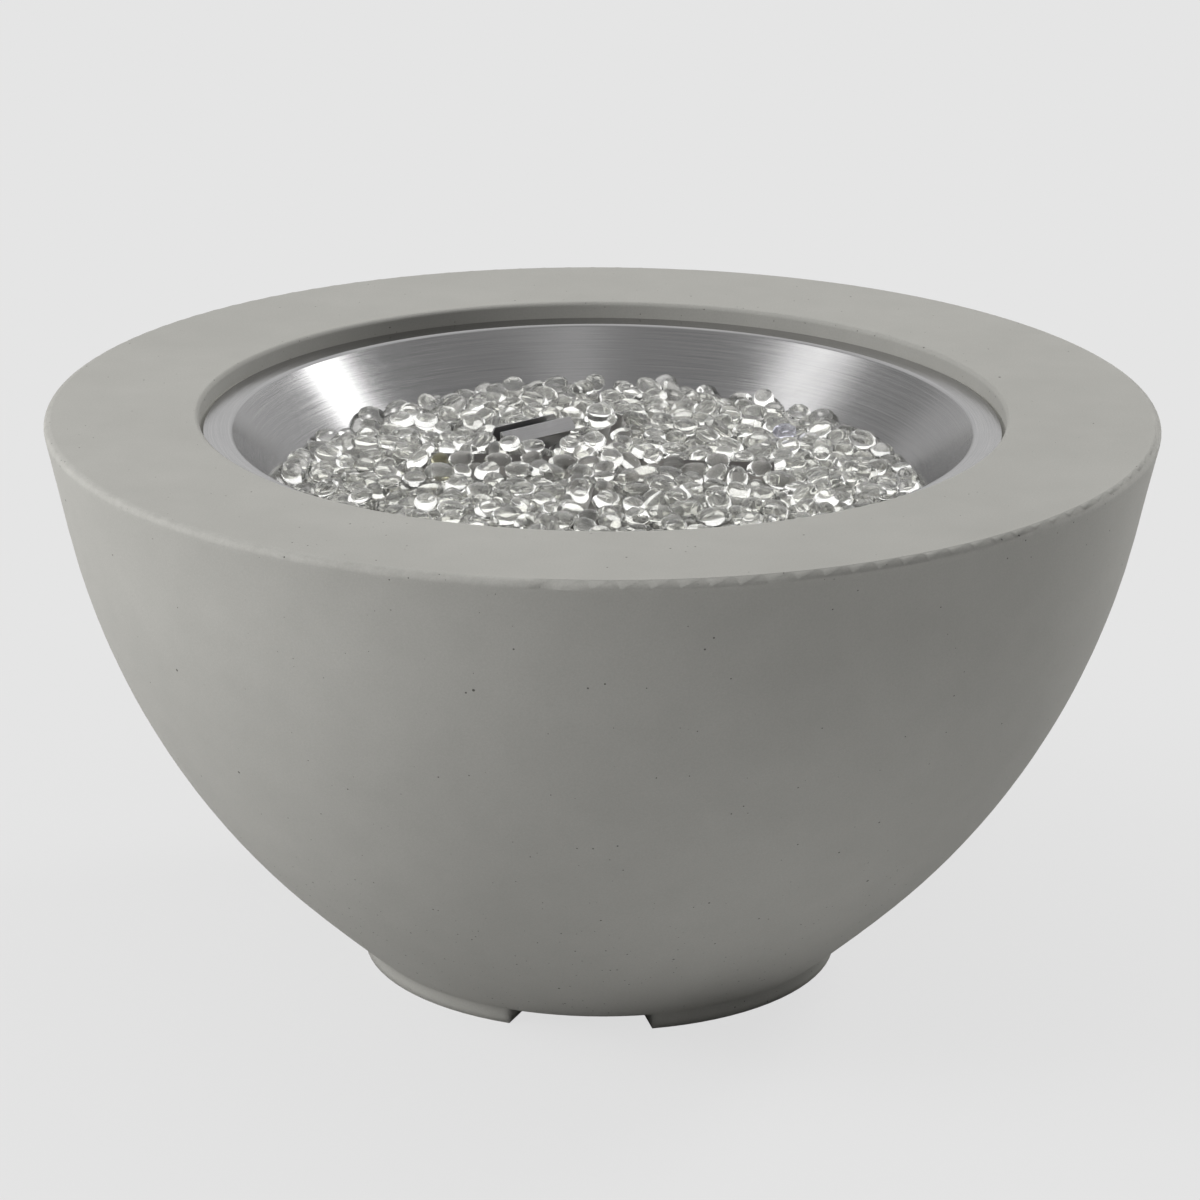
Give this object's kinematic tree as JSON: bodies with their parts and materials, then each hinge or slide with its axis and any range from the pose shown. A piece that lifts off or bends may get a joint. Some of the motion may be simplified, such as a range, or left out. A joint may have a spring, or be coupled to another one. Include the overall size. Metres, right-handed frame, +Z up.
{
  "type": "gas fire bowl",
  "caption": "Round cast concrete gas fire bowl: drop-in stainless burner pan with cross burner, spark igniter, fire glass, and gas controls in the rear wall.",
  "frame": {"origin": "on the ground under the centre of the bowl", "axes": "+Z up, +Y towards the rear wall that holds the gas controls, so the front is -Y, +X to the right seen from the front"},
  "size_m": [0.7408, 0.7408, 0.381],
  "materials": {
    "concrete": "smooth cast concrete, warm grey, with small air holes",
    "stainless": "stainless sheet with a fine round brushing",
    "zinc_steel": "zinc plated steel",
    "brass": "machined brass",
    "steel_pipe": "black steel pipe",
    "ceramic": "glazed white ceramic",
    "electrode_steel": "heat tinted steel",
    "stem_steel": "turned steel",
    "spring_steel": "drawn spring wire",
    "knob_plastic": "black moulded plastic, satin",
    "bezel": "pressed stainless ring",
    "igniter_plastic": "black moulded plastic",
    "button_plastic": "glossy black plastic",
    "battery": "plain printed sleeve",
    "rubber": "red silicone lead and boots",
    "copper": "bare copper tube",
    "gas_line": "corrugated stainless tube",
    "fire_glass": "clear tumbled fire glass pebbles"
  },
  "bodies": {
    "root": {"concrete_bowl": "concrete", "burner_pan": "stainless", "burner_cross": "stainless", "igniter_guard": "stainless", "clamp_plate": "stainless", "guard_screws": "zinc_steel", "guard_nuts": "zinc_steel", "retaining_clips": "zinc_steel", "valve_bracket": "zinc_steel", "bracket_screws": "zinc_steel", "inlet_bridge": "zinc_steel", "bridge_screws": "zinc_steel", "nipple_nut": "zinc_steel", "cast_in_inserts": "brass", "burner_elbow": "brass", "air_mixer": "brass", "gas_jet": "brass", "valve_body": "brass", "valve_lock_nut": "brass", "thermocouple_nut": "brass", "burner_line_nuts": "brass", "supply_line_nuts": "brass", "inlet_fitting": "brass", "inlet_lock_nut": "brass", "burner_nipple": "steel_pipe", "electrode_insulator": "ceramic", "spark_electrode": "electrode_steel", "thermocouple_probe": "electrode_steel", "stem_spring": "spring_steel", "button_spring": "spring_steel", "knob_bezel": "bezel", "igniter_body": "igniter_plastic", "igniter_nut": "igniter_plastic", "igniter_cap": "igniter_plastic", "igniter_battery": "battery", "wire_boots": "rubber", "ignition_wire": "rubber", "thermocouple_lead": "copper", "burner_line": "gas_line", "supply_line": "gas_line", "glass_gems": "fire_glass"},
    "plunger": {"spring_cup": "stem_steel"},
    "knob": {"control_knob": "knob_plastic", "valve_stem": "stem_steel", "knob_set_screw": "zinc_steel"},
    "button": {"igniter_button": "button_plastic"}
  },
  "joints": [
    {"name": "knob_push", "type": "slide", "parent": "root", "child": "plunger", "axis": [0, -0.8989, 0.4382], "range_m": [0, 0.004], "stiffness_N_per_m": 2500, "springref_m": -0.002, "deforming": ["stem_spring"]},
    {"name": "knob_turn", "type": "hinge", "parent": "plunger", "child": "knob", "pos_m": [0.027, 0.31577, 0.20088], "axis": [0, 0.8989, -0.4382], "range_deg": [0, 210]},
    {"name": "button_press", "type": "slide", "parent": "root", "child": "button", "axis": [0, -0.8989, 0.4382], "range_m": [0, 0.003], "stiffness_N_per_m": 800, "springref_m": -0.0015, "deforming": ["button_spring"]}
  ]
}
